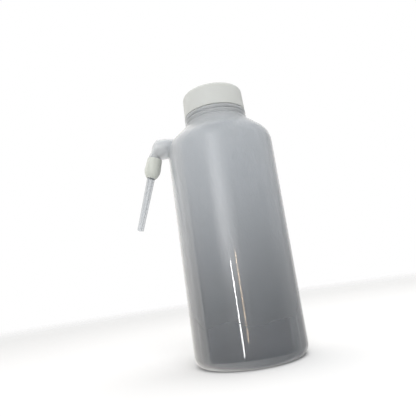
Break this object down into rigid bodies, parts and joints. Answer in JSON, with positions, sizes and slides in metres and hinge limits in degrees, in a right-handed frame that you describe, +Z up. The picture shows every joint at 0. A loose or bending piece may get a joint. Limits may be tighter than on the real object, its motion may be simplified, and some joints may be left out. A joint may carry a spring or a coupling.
{
  "type": "wash bottle",
  "caption": "Squeeze wash bottle blown with an elbowed side arm, a pushed-on nozzle collar with a tapered jet tube, a hidden draw tube and a plain screw cap.",
  "frame": {"origin": "centre of the base, in the plane of the standing ring", "axes": "+Z up the bottle's axis, side arm towards -X"},
  "size_m": [0.1039, 0.075, 0.1886],
  "materials": {
    "blown_plastic": "milky translucent blown polyethylene with a soft gloss and fine pebbling",
    "cap_plastic": "smooth creamy white moulded plastic",
    "liner_foam": "soft white foamed disc",
    "tube_plastic": "smooth milky translucent tube",
    "collar_plastic": "milky, slightly yellowish green moulded plastic",
    "jet_plastic": "clear glassy drawn plastic"
  },
  "bodies": {
    "bottle": {"bottle_body": "blown_plastic", "draw_tube": "tube_plastic"},
    "seal": {"cap_liner": "liner_foam"},
    "cap": {"screw_cap": "cap_plastic"},
    "nozzle": {"nozzle_collar": "collar_plastic", "jet_tube": "jet_plastic"}
  },
  "joints": [
    {"name": "cap_lift", "type": "slide", "parent": "bottle", "child": "seal", "axis": [0, 0, 1], "range_m": [0, 0.006]},
    {"name": "cap_turn", "type": "hinge", "parent": "seal", "child": "cap", "pos_m": [0, 0, 0.172], "axis": [0, 0, 1], "range_deg": [0, 540]},
    {"name": "nozzle_pull", "type": "slide", "parent": "bottle", "child": "nozzle", "axis": [-0.3057, 0, -0.9521], "range_m": [0, 0.012]}
  ],
  "couplings": [
    {"joint": "cap_lift", "follows": "cap_turn", "m_per_rad": 0.00063662}
  ]
}
